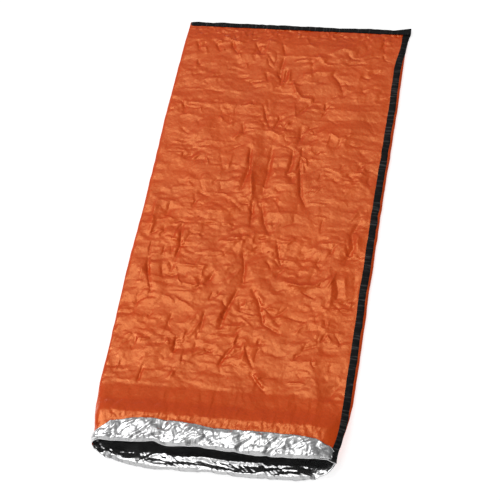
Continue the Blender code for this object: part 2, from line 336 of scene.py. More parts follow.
SCATTERED = 420  # how many creases are scattered at random
SCATTERED_ACROSS, SCATTERED_ALONG = (-0.41, 0.41), (0.37, LENGTH - 0.07)
SCATTERED_TURNS = ((0, 28), (90, 22))  # mean and spread in degrees, along the bag and across it
SCATTERED_SHARES = (0.6, 0.4)  # of those two kinds
SCATTERED_BOW = 0.22  # spread of the middle's offset, in half lengths
HALF_LENGTHS, HALF_WIDTHS, HEIGHTS = (0.012, 0.042), (0.0030, 0.0060), (0.0010, 0.0028)
SIGNS = (-1, -1, 1)  # two valleys to each ridge


def scattered_creases(seed):
    """Rows like those of CREASES, in metres: short creases at random places, most of them along the bag."""
    rng = np.random.default_rng(seed)
    rows = []
    for _ in range(SCATTERED):
        middle = np.array([rng.uniform(*SCATTERED_ACROSS), rng.uniform(*SCATTERED_ALONG)])
        turns = [rng.normal(mean, deviation) for mean, deviation in SCATTERED_TURNS]
        turn = math.radians(rng.choice(turns, p=SCATTERED_SHARES))
        half_length = rng.uniform(*HALF_LENGTHS)
        way = half_length * np.array([math.sin(turn), math.cos(turn)])
        sideways = np.array([math.cos(turn), -math.sin(turn)])
        bow = rng.normal(0, SCATTERED_BOW) * half_length * sideways
        height = rng.choice(SIGNS) * rng.uniform(*HEIGHTS)
        rows.append((rng.uniform(*HALF_WIDTHS), height, middle - way, middle + bow, middle + way))
    return rows


def fold_height(across, along):
    """The soft main folds."""
    total = np.zeros(across.shape)
    for x, y, half_length, half_width, height, turn in FOLDS:
        crosswise, lengthwise = slanted(across - x, along - y, math.radians(turn))
        total += height * np.exp(-((lengthwise / half_length) ** 2) - (crosswise / half_width) ** 2)
    return total


PACK_FIRST, PACK_STEP, PACK_FOLDS = 0.335, 0.0642, 26  # first cross fold, step to the next, how many
PACK_COLUMN = 0.150  # width of the panels that the lengthwise folds leave
PACK_SHIFT = 0.004  # how far a cross fold may lie from its place
PACK_WAVES = ((0.0035, 0.10), (0.0015, 0.03))
ROW_APART = 3.7  # keeps the random rows of two folds apart
RIDGE_HEIGHT, RIDGE_HALF_WIDTH, RIDGE_SHARPNESS = 0.0013, 0.0040, 1.4
RIDGE_STRENGTH, RIDGE_BREAKS = 0.15, ((1.3, 0.060),)
ROW_TILT, ROW_BEND, ROW_BEND_SIZE = 0.0014, 0.004, 0.12
COLUMN_TILT, COLUMN_BEND, COLUMN_BEND_SIZE = 0.0018, 0.006, 0.15


def zigzag(phase):
    """Straight ramps down and up again between 0.5 and -0.5, once in each whole step of the phase."""
    return 2 * np.abs(phase % 1 - 0.5) - 0.5


def packing_height(across, along, seed):
    """What packing left: broken cross ridges at even steps, and panels tilted between them."""
    rng = np.random.default_rng(seed)
    total = np.zeros(across.shape)
    for fold in range(PACK_FOLDS):
        row = ROW_APART * fold
        shift = rng.uniform(-PACK_SHIFT, PACK_SHIFT)
        line = PACK_FIRST + PACK_STEP * fold + shift + waves(across, row, seed, PACK_WAVES)
        strength = RIDGE_STRENGTH + waves(across, row, seed + 2, RIDGE_BREAKS)
        profile = np.exp(-((np.abs(along - line) / RIDGE_HALF_WIDTH) ** RIDGE_SHARPNESS))
        total += RIDGE_HEIGHT * np.clip(strength, 0, 1) * profile
    bent = along + ROW_BEND * value_noise(across / ROW_BEND_SIZE, along / ROW_BEND_SIZE, seed + 3)
    total += ROW_TILT * zigzag((bent - PACK_FIRST) / (2 * PACK_STEP))
    bent = across + COLUMN_BEND * value_noise(across / COLUMN_BEND_SIZE, along / COLUMN_BEND_SIZE, seed + 4)
    total += COLUMN_TILT * zigzag(bent / (2 * PACK_COLUMN))
    return total


PANEL_SHIFT = 0.01
PANEL_WAVES = ((0.10, 0.07), (0.12, 0.05))  # how uneven a panel's sides are, in panels, and their size
PANEL_BLENDS = ((0.42, 0.5), (0.40, 0.5))  # where two panels blend, in panels from the middle


def panels(across, along, seed):
    """A different number from 0 to 1 for each of the panels between the packing folds."""
    u, v = (across + PANEL_SHIFT) / PACK_COLUMN, (along - PACK_FIRST) / PACK_STEP
    (uneven_u, size_u), (uneven_v, size_v) = PANEL_WAVES
    u = u + uneven_u * value_noise(across / size_u, along / size_u, seed)
    v = v + uneven_v * value_noise(across / size_v, along / size_v, seed + 1)
    i, j = np.round(u).astype(np.int64), np.round(v).astype(np.int64)
    blend_u = smooth(np.abs(u - i), *PANEL_BLENDS[0]) / 2
    blend_v = smooth(np.abs(v - j), *PANEL_BLENDS[1]) / 2
    beside = hashed(i + np.sign(u - i).astype(np.int64), j, seed)
    above = hashed(i, j + np.sign(v - j).astype(np.int64), seed)
    return (1 - blend_u - blend_v) * hashed(i, j, seed) + blend_u * beside + blend_v * above


# Where the upper film's parts begin and end: along the bag, and across it for the hem's puckers
HEM_BEGINS, HEM_ENDS = (0.10, 0.13), (0.188, 0.212)
SLOPE_BEGINS, BODY_BEGINS = (0.185, 0.20), (0.30, 0.345)
NEAR_MOUTH_ENDS = (0.9, 1.5)
FOOT_BEGINS, TAPE_BEGINS = (LENGTH - 0.11, LENGTH - 0.05), (LENGTH - 0.030, LENGTH - 0.021)
PUCKERS_LEFT, PUCKERS_RIGHT = (-0.40, -0.37), (0.375, 0.39)
FROM_EDGE, EDGE_FADE = (0.030, 0.075), (0.0, 0.02)  # over which folds grow, and all relief comes in
EDGE_SHIFT = 0.003  # how far left the middle between the two edges lies
FOLDS_AT_EDGE, CREASES_AT_EDGE = 0.3, 0.25  # what is left of them beside the edge

CREASE_DEPTH, SCATTERED_DEPTH = 1.8, 1.25
SCATTERED_BASE, SCATTERED_LIMIT = 0.5, 1.2
# How crumpled the panels are: the least, more near the mouth, more or less in broad patches, limits
PATCH_BASE, PATCH_NEAR_MOUTH, PATCH_BROAD, PATCH_SIZE = 0.15, 0.25, 0.35, 0.16
PATCH_POWER, PATCH_LIMITS = 1.5, (0.1, 1.5)

WARP = 0.35
CRUMPLES = (  # part of the film, depth, more near the mouth, size, seed, stretch along the bag, warp
    ("body", 0.0016, 0.0011, 0.105, 21, 1.5, WARP),
    ("body", 0.0013, 0.0003, 0.100, 22, 0.5, WARP),
    ("patches", 0.0013, 0, 0.040, 23, 0.6, 0.5),
    ("patches", 0.0004, 0, 0.017, 29, 1.3, 0.6),
    ("slope and hem", 0.0007, 0, 0.060, 24, 1.0, WARP),
    ("slope", 0.0017, 0, 0.026, 25, 3.4, 0.5),
    ("foot", 0.0023, 0, 0.019, 27, 1.2, 0.7),
)
PUCKERS = (  # here and below: depth, size, seed, stretch, warp, turn in degrees
    (0.0010, 0.010, 26, 3.4, 0.7, -12),
    (0.0013, 0.024, 28, 1.4, 0.6, 0),
)


def upper_relief(across, along):
    """Height of the upper film's creases and crumples above its smooth surface."""
    edge = HALF_WIDTH - np.abs(across + EDGE_SHIFT)
    inside = smooth(edge, *FROM_EDGE)
    clear_of_tape = 1 - smooth(along, *TAPE_BEGINS)
    body = smooth(along, *BODY_BEGINS) * clear_of_tape
    slope = smooth(along, *SLOPE_BEGINS) * (1 - smooth(along, *BODY_BEGINS))
    hem = smooth(along, *HEM_BEGINS) * (1 - smooth(along, *HEM_ENDS))
    near_mouth = 1 - smooth(along, *NEAR_MOUTH_ENDS)
    patchy = PATCH_BASE + panels(across, along, 5) ** PATCH_POWER + PATCH_NEAR_MOUTH * near_mouth
    patchy = patchy + PATCH_BROAD * value_noise(across / PATCH_SIZE, along / PATCH_SIZE, 6)
    patchy = np.clip(patchy, *PATCH_LIMITS)
    folds_left = FOLDS_AT_EDGE + (1 - FOLDS_AT_EDGE) * inside
    creases_left = CREASES_AT_EDGE + (1 - CREASES_AT_EDGE) * inside
    relief = fold_height(across, along) * folds_left
    relief += CREASE_DEPTH * crease_height(across, along, in_metres(CREASES)) * body * creases_left
    scattered = SCATTERED_DEPTH * crease_height(across, along, scattered_creases(7))
    relief += scattered * body * np.minimum(SCATTERED_BASE + patchy, SCATTERED_LIMIT) * creases_left
    relief += packing_height(across, along, 3) * body * folds_left
    parts = {"body": body, "patches": body * patchy, "slope": slope, "slope and hem": slope + hem}
    parts["foot"] = smooth(along, *FOOT_BEGINS) * clear_of_tape
    for part, depth, more, *layer in CRUMPLES:
        relief += parts[part] * (depth + more * near_mouth) * facets(across, along, *layer)
    puckers = hem * crumples(across, along, PUCKERS)
    relief += puckers * smooth(across, *PUCKERS_LEFT) * (1 - smooth(across, *PUCKERS_RIGHT))
    return relief * smooth(edge, *EDGE_FADE)


CUFF_HEIGHT, CUFF_HIGHEST = 0.0048, 0.0084  # of the cuff above the film under it
CUFF_CRUMPLES = (
    (0.0046, 0.030, 31, 2.6, 0.5, -52),
    (0.0020, 0.013, 32, 3.2, 0.5, -52),
    (0.0013, 0.014, 33, 2.5, 0.5, 35),
)


def cuff_relief(across, away):
    """Height of the turned-back film above the film under it, by the distance from the rim."""
    return np.clip(crumples(across, away, CUFF_CRUMPLES, CUFF_HEIGHT), 0, CUFF_HIGHEST)


# The lower lip rolls up behind its rim, with a crest in the middle, streaks, and bars at the left
LIP_ENDS = (0.03, 0.10)  # distance from the mouth's sides
LIP_INSIDE, LIP_BARS_LONGER = (0.056, 0.080), 0.03  # where streaks end, and how much later bars do
ROLL_HEIGHT, ROLL_RISES, ROLL_FALLS = 0.0080, (-0.002, 0.009), (0.009, 0.046)
CREST_HEIGHT, CREST_ACROSS, CREST_HALF_LENGTH = 0.0052, -0.04, 0.145
CREST_ALONG, CREST_HALF_WIDTH = 0.058, 0.013
CREST_WAVES = ((0.5, 0.05),)
STREAK_HEIGHT = 0.0026
STREAKS = (
    (0.0022, 0.085, 42, 0.22, 0.5, 0),
    (0.0013, 0.040, 43, 0.25, 0.5, -25),
    (0.0003, 0.014, 45, 0.5, 0.5, 0),
)
BARS_LEFT_OF, BARS = (0.30, 0.36), ((0.0050, 0.050, 46, 0.30, 0.3, 62),)
BUMPS_BEGIN, BUMPS = (0.09, 0.14), ((0.0014, 0.09, 41, 1.0, WARP, 0),)


def under_relief(across, along):
    """How far the lower film stands up from the surface it lies on."""
    at_bars = smooth(-across, *BARS_LEFT_OF)
    first, last = LIP_INSIDE
    inside = smooth(along, first + LIP_BARS_LONGER * at_bars, last + LIP_BARS_LONGER * at_bars)
    bumps = np.maximum(0, crumples(across, along, BUMPS)) * smooth(along, *BUMPS_BEGIN)
    ends = smooth(MOUTH_HALF_WIDTH - np.abs(across), *LIP_ENDS)
    away = along - column(in_metres(LOWER_RIM), 1, across)
    roll = ROLL_HEIGHT * smooth(away, *ROLL_RISES) * (1 - smooth(away, *ROLL_FALLS))
    middle = np.exp(-(((across - CREST_ACROSS) / CREST_HALF_LENGTH) ** 4))
    crest = CREST_HEIGHT * middle * np.exp(-(((along - CREST_ALONG) / CREST_HALF_WIDTH) ** 2))
    crest = crest * (1 + waves(across, 0, 44, CREST_WAVES))
    streaks = crumples(across, along, STREAKS, STREAK_HEIGHT) + at_bars * crumples(across, along, BARS)
    return bumps + (roll + crest) * ends + np.maximum(streaks, 0) * (1 - inside)


MOUTH_CRUMPLES = (
    (0.0030, 0.085, 51, 1.4, WARP, 0),
    (0.0012, 0.040, 52, 1.2, WARP, 0),
    (0.0009, 0.018, 53, 1.6, 0.6, 0),
)
MOUTH_CRUMPLES_END = (0.15, 0.20)
DENT_DEPTH, DENT_ACROSS, DENT_HALF_WIDTH = 0.0050, -0.172, 0.016  # the dip in the upper rim
HEM_RISE = 0.0050  # how much higher the hem's back stands than its front
HEM_RISES, HEM_FALLS, HEM_RISE_ENDS = (0.125, 0.195), (0.197, 0.27), (0.34, 0.40)


def mouth_relief(across, along):
    """Relief that the rim, the cuff and the film under the cuff share."""
    relief = crumples(across, along, MOUTH_CRUMPLES)
    relief -= DENT_DEPTH * np.exp(-(((across - DENT_ACROSS) / DENT_HALF_WIDTH) ** 2))
    relief = relief * (1 - smooth(along, *MOUTH_CRUMPLES_END))
    rise = HEM_RISE * smooth(along, *HEM_RISES) * (1 - smooth(along, *HEM_FALLS))
    return relief + rise * (1 - smooth(across, *HEM_RISE_ENDS))


# ---- the film's smooth surface


EDGE_WAVES = ((0.0016, 0.11), (0.0010, 0.034))  # here and below: height, length
EDGE_WAVES_BEGIN, EDGE_WAVES_END = (0.05, 0.12), (LENGTH - 0.08, LENGTH - 0.03)
LEAST_RISE = 1e-5
ROUND_LONGER = 0.11  # how much longer a quarter circle is than the straight line between its ends


def outline_wave(along, side):
    """Small uneven bends of the bag's two long edges."""
    wave = waves(along, 5.2 * side, 61, EDGE_WAVES)
    return wave * smooth(along, *EDGE_WAVES_BEGIN) * (1 - smooth(along, *EDGE_WAVES_END))


def film_floor(along):
    """Height of the lower film's outer face: on the cuff at the mouth, on the binding at the foot."""
    on_cuff = 1 - smooth(along, *OFF_CUFF)
    on_tape = smooth(along, SEAM_RISE_FROM, SEAM_START)
    return (2 * LOWER_BEND + FILM) * on_cuff + ON_FOOT_TAPE * on_tape


def section(along, side):
    """Half width, half height, side run and side power of the bag's section.

    The side's curve is an ellipse's quarter where the power is 1, and nearly straight slopes that
    meet at an edge where it is near 2: so does the seam lie at the mouth.
    """
    half_width = np.where(side > 0, column(SECTIONS, 2, along), column(SECTIONS, 1, along))
    rise = column(SECTIONS, 3, along) / 2 * (1 - smooth(along, *FOOT_CLOSING))
    flat_seam = (1 - smooth(along, *FLAT_SEAM_FADE)) * (side > 0)
    run = column(SECTIONS, 4, along) * (1 + FLAT_SEAM_RUN * flat_seam)
    return half_width + outline_wave(along, side), rise + LEAST_RISE, run, 1 + FLAT_SEAM_POWER * flat_seam


def side_reach(rise, run, power):
    """About how long the side's curve is."""
    return np.hypot(run, rise) * (1 + ROUND_LONGER - ROUND_LONGER * (power - 1))


def placed(across, along, height):
    """Points in the bag's frame. Rows towards the foot lie at a growing slant."""
    slant = FOOT_SLANT * across / HALF_WIDTH * along / LENGTH
    return np.stack([across - ORIGIN_ACROSS, along - slant - ORIGIN_ALONG, height], axis=-1)


def unrolled(line, along):
    """Distance across the bag to a line of the film, with the side's curve rolled out flat."""
    side, angle, share = line
    half_width, rise, run, power = section(along, side)
    rolled = (1 - angle / (math.pi / 2)) * side_reach(rise, run, power)
    return side * ((half_width - run) * (1 - share) + rolled)


def film_points(line, along, over, lift):
    """Points of the film on this line of it, lifted outwards from its smooth surface.

    A line is (side, angle round the side's curve, share of the way on to the middle). over is 1
    on the upper film and -1 on the lower one.
    """
    side, angle, share = line
    half_width, rise, run, power = section(along, side)
    c, s, below = np.maximum(np.cos(angle), 0), np.abs(np.sin(angle)), np.sign(angle)
    out_across = (half_width - run) * (1 - share) + run * c**power
    out_height = rise * below * s**power
    normal = np.stack([c ** (2 - power) / run, below * s ** (2 - power) / rise])
    normal = normal / np.linalg.norm(normal, axis=0)
    across = side * (out_across + lift * normal[0])
    height = over * (out_height + lift * normal[1])
    return placed(across, along, film_floor(along) + rise + height)


def bend_of(line, over):
    """Radius of the rim's bend on each line. At the two sides the upper and the lower film share it."""
    side, angle, _ = line
    across = unrolled(line, np.full(len(side), RIM_ALONG))
    own = UPPER_BEND if over > 0 else LOWER_BEND
    own = own * (1 + waves(across, 5 * over, 74, BEND_WAVES))
    return SIDE_BEND + (own - SIDE_BEND) * smooth(angle, 0, math.pi / 2)


def lines_across():
    """The film's lengthwise lines from its right side to its left: arrays of side, angle and share."""
    top = math.pi / 2
    angles = np.concatenate([np.linspace(0, top, EDGE_STEPS + 1), np.full(FIELD_STEPS, top)])
    shares = np.concatenate([np.zeros(EDGE_STEPS + 1), np.linspace(0, 1, FIELD_STEPS + 1)[1:]])
    side = np.concatenate([np.ones(len(angles)), -np.ones(len(angles) - 1)])
    return side, np.concatenate([angles, angles[-2::-1]]), np.concatenate([shares, shares[-2::-1]])


RIM_WAVES = ((0.0022, 0.05), (0.0014, 0.018))
CUFF_EDGE_WAVES = ((0.0030, 0.045),)
RIM_ENDS = (0.0, 0.03)  # distance from the mouth's sides
SIDE_WAVES = ((0.0030, 0.030), (0.0015, 0.012))
SIDE_WAVES_END = (0.10, 0.20)
SIDE_FADE = (0.0, 0.016)  # distance from the side over which the film's own relief comes in


def rim_of(line, over):
    """Where the rim turns back on each line, and where the cuff's free edge lies."""
    table = in_metres(UPPER_RIM if over > 0 else LOWER_RIM)
    across = unrolled(line, np.full(len(line[0]), RIM_ALONG))
    across = across * MOUTH_HALF_WIDTH / np.abs(across).max()
    fade = smooth(MOUTH_HALF_WIDTH - np.abs(across), *RIM_ENDS)
    rim = column(table, 1, across) + waves(across, 3 * over, 71, RIM_WAVES) * fade
    return rim, column(table, 2, across) + waves(across, 3 * over, 73, CUFF_EDGE_WAVES) * fade


def side_relief(line, along):
    """Relief of the two side edges at the mouth, which the upper and the lower film share."""
    return waves(along, 4.1 * line[0], 63, SIDE_WAVES) * (1 - smooth(along, *SIDE_WAVES_END))


def neighbours(grid, axis):
    """Each value's neighbour on one side, the value and its neighbour on the other side, as grids."""
    padded = np.pad(grid, [(1, 1) if a == axis else (0, 0) for a in (0, 1)], mode="edge")
    return [np.take(padded, range(k, k + grid.shape[axis]), axis=axis) for k in (0, 1, 2)]


def spread(lowest):
    """The lowest relief nearby, blurred: what the inside of the film follows away from the mouth."""
    for axis in (0, 1):
        for _ in range(INNER_SPREAD):
            lowest = np.minimum.reduce(neighbours(lowest, axis))
    for axis in (0, 1):
        for _ in range(INNER_SPREAD):
            before, middle, after = neighbours(lowest, axis)
            lowest = (before + middle + after) / 3
    return lowest


NEAR_LENGTH, NEAR_STEP, FAR_STEP = 0.34, 0.0025, 0.0033  # rows lie closer together near the mouth
EDGE_STEPS, FIELD_STEPS = 12, 135  # lines round each side, and from there to the middle
BEND_STEPS, CUFF_STEPS = 8, 34
HIDDEN_BEHIND_CUFF = (0.001, 0.012)  # distance from the cuff's free edge
INNER_SPREAD, INNER_GAP = 4, 0.0022
DEEP_BEGINS, DEEP_ENDS = (0.40, 0.44), (LENGTH - 0.10, LENGTH - 0.06)
CUFF_DOWN, CUFF_REST_GAP = (0.006, 0.05), 0.0017  # where the cuff comes down, and its gap from there on
OFF_RIM = (0.0, 0.005)  # distance from the rim over which the cuff's own relief comes in
BESIDE_TAPE = (0.018, 0.034)  # distance from the taped side
FREE_EDGE_SHARE, FREE_EDGE = 0.35, (0.0, 0.020)  # how high the crumples are at the cuff's free edge


def film_grids(over):
    """The two faces of the upper film (over is 1) or the lower one (-1), as grids of points.

    Rows run from the foot to the rim, round its bend and on to the cuff's free edge.
    """
    line = lines_across()
    bend = bend_of(line, over)
    rim, cuff_edge = rim_of(line, over)
    near = np.arange(0, NEAR_LENGTH, NEAR_STEP)
    far = np.linspace(NEAR_LENGTH, FILM_END, int((LENGTH - NEAR_LENGTH) / FAR_STEP))
    stations = np.concatenate([near, far])[::-1, None]
    along = stations + (rim + bend) * np.maximum(0, 1 - stations / NEAR_LENGTH)
    across = unrolled(line, along)
    if over > 0:
        first, last = HIDDEN_BEHIND_CUFF
        clear_of_cuff = smooth(along, cuff_edge + first, cuff_edge + last)
        relief = upper_relief(across, along) * clear_of_cuff + mouth_relief(across, along)
    else:
        relief = -under_relief(across, along)
    edge = np.abs(across[:, :1]) - np.abs(across)
    edge = np.where(across < 0, np.abs(across[:, -1:]) - np.abs(across), edge)
    fade = smooth(edge, *SIDE_FADE)
    relief = relief * fade + (1 - fade) * side_relief(line, along)
    inner = relief - FILM
    deep = smooth(along, *DEEP_BEGINS) * (1 - smooth(along, *DEEP_ENDS))
    inner = (1 - deep) * inner + deep * (spread(relief) - INNER_GAP)
    outer_rows = [film_points(line, along, over, relief)]
    inner_rows = [film_points(line, along, over, inner)]

    at_rim = rim + bend
    rim_relief = relief[-1]
    for step in range(1, BEND_STEPS):
        angle = math.pi * step / BEND_STEPS
        for rows, radius in ((outer_rows, bend), (inner_rows, bend + FILM)):
            lift = bend - radius * math.cos(angle) + rim_relief
            row = film_points(line, at_rim, over, lift)
            row[:, 1] -= radius * math.sin(angle)
            rows.append(row[None])
    share = np.linspace(0, 1, CUFF_STEPS + 1)[:, None]
    along = (1 - share) * at_rim + share * cuff_edge
    across = unrolled(line, along)
    away = along - at_rim
    gap = 2 * bend - (2 * bend - CUFF_REST_GAP) * smooth(away, *CUFF_DOWN)
    common = mouth_relief(across, along) if over > 0 else -under_relief(across, along)
    common = common * fade[-1] + (1 - fade[-1]) * side_relief(line, along)
    from_rim = smooth(away, *OFF_RIM)
    lift = gap + rim_relief + (common - rim_relief) * from_rim
    if over > 0:
        beside_tape = smooth(edge[-1], *BESIDE_TAPE) * (across > 0) + fade[-1] * (across <= 0)
        free_edge = FREE_EDGE_SHARE + (1 - FREE_EDGE_SHARE) * smooth(cuff_edge - along, *FREE_EDGE)
        lift = lift + cuff_relief(across, away) * beside_tape * from_rim * free_edge
    outer_rows.append(film_points(line, along, over, lift))
    inner_rows.append(film_points(line, along, over, lift + FILM + CUFF_EXTRA * from_rim))
    return np.concatenate(outer_rows), np.concatenate(inner_rows)


def linked(name, data):
    """A new object in the scene, from its mesh, light or camera."""
    obj = bpy.data.objects.new(name, data)
    bpy.context.scene.collection.objects.link(obj)
    return obj


def quads(rows, columns):
    """Faces of a grid of points, facing along the cross product of a row's way and the way to the next."""
    corner = (np.arange(rows - 1)[:, None] * columns + np.arange(columns - 1)).ravel()
    return np.stack([corner, corner + 1, corner + columns + 1, corner + columns], axis=-1)


def shell(name, front, back, materials, back_rim=1):
    """A closed shell between two grids of points.

    Its front and its rim take the first material. Its back takes the second one, and so does the
    rim of this many last rows.
    """
    rows, columns = front.shape[:2]
    count = rows * columns
    border = [np.arange(columns), np.arange(1, rows) * columns + columns - 1]
    border += [count - 2 - np.arange(columns - 1), np.arange(rows - 2, 0, -1) * columns]
    ring = np.concatenate(border)
    after = np.roll(ring, -1)
    rim = np.stack([after, ring, ring + count, after + count], axis=-1)
    face = quads(rows, columns)
    faces = np.concatenate([face, face[:, ::-1] + count, rim])
    rim_slots = np.minimum(ring // columns, after // columns) >= rows - back_rim
    slots = np.concatenate([np.zeros(len(face)), np.ones(len(face)), rim_slots])
    mesh = bpy.data.meshes.new(name)
    mesh.vertices.add(2 * count)
    mesh.vertices.foreach_set("co", np.concatenate([front, back], dtype=np.float32).ravel())
    mesh.loops.add(faces.size)
    mesh.loops.foreach_set("vertex_index", faces.astype(np.int32).ravel())
    mesh.polygons.add(len(faces))
    mesh.polygons.foreach_set("loop_start", np.arange(0, faces.size, 4, dtype=np.int32))
    for material in materials:
        mesh.materials.append(material)
    mesh.polygons.foreach_set("material_index", slots.astype(np.int32))
    mesh.update(calc_edges=True)
    mesh.validate()
    mesh.shade_smooth()
    return linked(name, mesh)


def lightened(obj, triangles):
    """Drops the object to about this many triangles, where its surface is flattest."""
    count = sum(len(p.vertices) - 2 for p in obj.data.polygons)
    modifier = obj.modifiers.new("lighten", "DECIMATE")
    modifier.ratio = min(1.0, triangles / count)
    depsgraph = bpy.context.evaluated_depsgraph_get()
    mesh = bpy.data.meshes.new_from_object(obj.evaluated_get(depsgraph))
    obj.modifiers.clear()
    old, obj.data = obj.data, mesh
    mesh.name = obj.name
    bpy.data.meshes.remove(old)
    return obj


# ---- materials


def shader_of(name, constants):
    """A new material, its node tree and its shader, with these constants on the shader's own sockets."""
    material = bpy.data.materials.new(name)
    material.use_nodes = True
    tree = material.node_tree
    shader = tree.nodes["Principled BSDF"]
    for socket, value in constants.items():
        shader.inputs[socket].default_value = value
    return material, tree, shader


def node(tree, kind, inputs=(), **settings):
    """A shader node. inputs maps its sockets to values or to other nodes' outputs."""
    made = tree.nodes.new("ShaderNode" + kind)
    for setting, value in settings.items():
        setattr(made, setting, value)
    for socket, value in dict(inputs).items():
        if isinstance(value, bpy.types.NodeSocket):
            tree.links.new(value, made.inputs[socket])
        else:
            made.inputs[socket].default_value = value
    return made


def ramp(tree, factor, stops):
    """A colour that follows the factor through these stops: (position, colour) each."""
    made = node(tree, "ValToRGB", {"Fac": factor})
    while len(made.color_ramp.elements) < len(stops):
        made.color_ramp.elements.new(0.5)
    for element, (position, colour) in zip(made.color_ramp.elements, stops):
        element.position = position
        element.color = (*colour, 1)
    return made.outputs["Color"]


BENT_FINENESS, BENT_BY, CELLS_APART = 0.6, 0.5, 3.7  # the facets' warp, and the shift of their second cells


def facet_bump(tree, place, scale, distance, normal=None):
    """Small flat facets between sharp creases, as a bumped normal."""
    bent = node(tree, "TexNoise", {"Vector": place, "Scale": BENT_FINENESS * scale, "Detail": 1.0})
    moves = {0: bent.outputs["Color"], "Scale": BENT_BY / scale}
    warp = node(tree, "VectorMath", moves, operation="SCALE")
    squares = []
    for shift in (0.0, CELLS_APART):
        warped = node(tree, "VectorMath", {0: place, 1: warp.outputs[0]}, operation="ADD")
        moved = node(tree, "VectorMath", {0: warped.outputs[0], 1: (shift,) * 3}, operation="ADD")
        pattern = {"Vector": moved.outputs[0], "Scale": scale}
        cells = node(tree, "TexVoronoi", pattern).outputs["Distance"]
        squares.append(node(tree, "Math", {0: cells, 1: cells}, operation="MULTIPLY").outputs[0])
    height = node(tree, "Math", {0: squares[0], 1: squares[1]}, operation="SUBTRACT").outputs[0]
    bump = node(tree, "Bump", {"Height": height, "Strength": 1.0, "Distance": distance})
    if normal is not None:
        tree.links.new(normal, bump.inputs["Normal"])
    return bump.outputs["Normal"]


def film_material():
    """Satin orange metallised film with fine crumples."""
    gloss = {"Metallic": 0.0, "Roughness": 0.20, "IOR": 2.1, "Specular Tint": (1.0, 0.52, 0.20, 1)}
    material, tree, shader = shader_of("orange_film", gloss)
    place = node(tree, "TexCoord").outputs["Object"]
    broad = node(tree, "TexNoise", {"Vector": place, "Scale": 7.0, "Detail": 4.0}).outputs["Fac"]
    tone = ramp(tree, broad, ((0.30, (0.665, 0.048, 0.001)), (0.70, (0.735, 0.057, 0.001))))
    tree.links.new(tone, shader.inputs["Base Color"])
    coarse = facet_bump(tree, place, 64.0, 0.0005)
    finer = facet_bump(tree, place, 150.0, 0.0001, coarse)
    tree.links.new(finer, shader.inputs["Normal"])
    return material


def foil_material():
    """The film's silver inside."""
    material, tree, shader = shader_of("silver_inside", {"Metallic": 0.975, "Roughness": 0.18})
    place = node(tree, "TexCoord").outputs["Object"]
    broad = node(tree, "TexNoise", {"Vector": place, "Scale": 20.0, "Detail": 3.0}).outputs["Fac"]
    tone = ramp(tree, broad, ((0.3, (0.64, 0.64, 0.65)), (0.7, (0.82, 0.82, 0.82))))
    tree.links.new(tone, shader.inputs["Base Color"])
    turn = (0, 0, math.radians(40))
    turned = node(tree, "Mapping", {"Vector": place, "Rotation": turn, "Scale": (1, 0.35, 1)})
    tree.links.new(facet_bump(tree, turned.outputs[0], 110.0, 0.0005), shader.inputs["Normal"])
    return material


def tape_material(name, fineness):
    """Black woven binding tape whose tone varies at random, with faint light ribs of painted sheen that
    stand in for glints off its crinkles. Their fineness is given for each axis.
    """
    material, tree, shader = shader_of(name, {"Roughness": 0.6, "Specular IOR Level": 0.12})
    place = node(tree, "TexCoord").outputs["Object"]
    drawn_out = node(tree, "Mapping", {"Vector": place, "Scale": fineness}).outputs[0]
    noise = {"Vector": drawn_out, "Scale": 1.0, "Detail": 2.0}
    # Noise drawn out across the tape: its low values give the weave's random near-black tone, its highest
    # ones light ribs of painted sheen standing in for glints off the tape's crinkles
    ribs_with_painted_sheen = node(tree, "TexNoise", noise).outputs["Fac"]
    tones_with_painted_sheen = ((0.48, (0.006, 0.006, 0.006)), (0.57, (0.014, 0.013, 0.013)), (0.68, (0.060, 0.057, 0.056)))
    tone = ramp(tree, ribs_with_painted_sheen, tones_with_painted_sheen)
    tree.links.new(tone, shader.inputs["Base Color"])
    threads = {"Vector": place, "Scale": 260.0, "Distortion": 1.5, "Detail": 1.0}
    weave = node(tree, "TexWave", threads, bands_direction="DIAGONAL")
    raised = {"Height": weave.outputs["Fac"], "Strength": 0.4, "Distance": 0.0003}
    tree.links.new(node(tree, "Bump", raised).outputs["Normal"], shader.inputs["Normal"])
    return material


# ---- the pieces

SHELL_TRIANGLES = 190_000  # of each of the two films

film = film_material()
foil = foil_material()
side_cloth = tape_material("black_tape_side", (12, 130, 12))
foot_cloth = tape_material("black_tape_foot", (130, 12, 12))


def build_film(name, over):
    """The upper film (over is 1) or the lower one (-1) as a closed shell."""
    outer, inner = film_grids(over)
    if over < 0:
        outer, inner = outer[:, ::-1], inner[:, ::-1]
    made = shell(name, outer, inner, [film, foil], CUFF_STEPS + BEND_STEPS)
    return lightened(made, SHELL_TRIANGLES)


upper = build_film("film_top", 1)
lower = build_film("film_bottom", -1)


SIDE_TURNS = 60  # points at which the side's curve is measured


def on_section(around, along):
    """The film's lines at these distances round the section from the right side's outermost point."""
    angle, share = np.zeros(around.shape), np.zeros(around.shape)
    turns = np.linspace(0, math.pi / 2, SIDE_TURNS)
    half_width, rise, run, power = section(along, np.ones(1))
    for row in range(len(along)):
        curve = run[row] * np.cos(turns) ** power[row], rise[row] * np.sin(turns) ** power[row]
        travelled = np.concatenate([[0], np.cumsum(np.hypot(*np.diff(curve)))])
        angle[row] = np.sign(around[row]) * np.interp(np.abs(around[row]), travelled, turns)
        share[row] = np.maximum(around[row] - travelled[-1], 0) / (half_width[row] - run[row])
    return np.ones(1), angle, share


TAPE_RIDGE_WIDTH, TAPE_RIDGE_WAVES = 0.035, ((0.2, 0.3),)  # width and shift of the ridges, in folds


def packing_ridges(along):
    """The packing folds where they cross the tape, as fine sharp ridges from 0 to 1 high."""
    phase = (along - PACK_FIRST) / PACK_STEP + waves(along, 0, 83, TAPE_RIDGE_WAVES)
    fold = np.round(phase)
    return np.exp(-(((phase - fold) / TAPE_RIDGE_WIDTH) ** 2)) * hashed(fold.astype(np.int64), 0, 84)


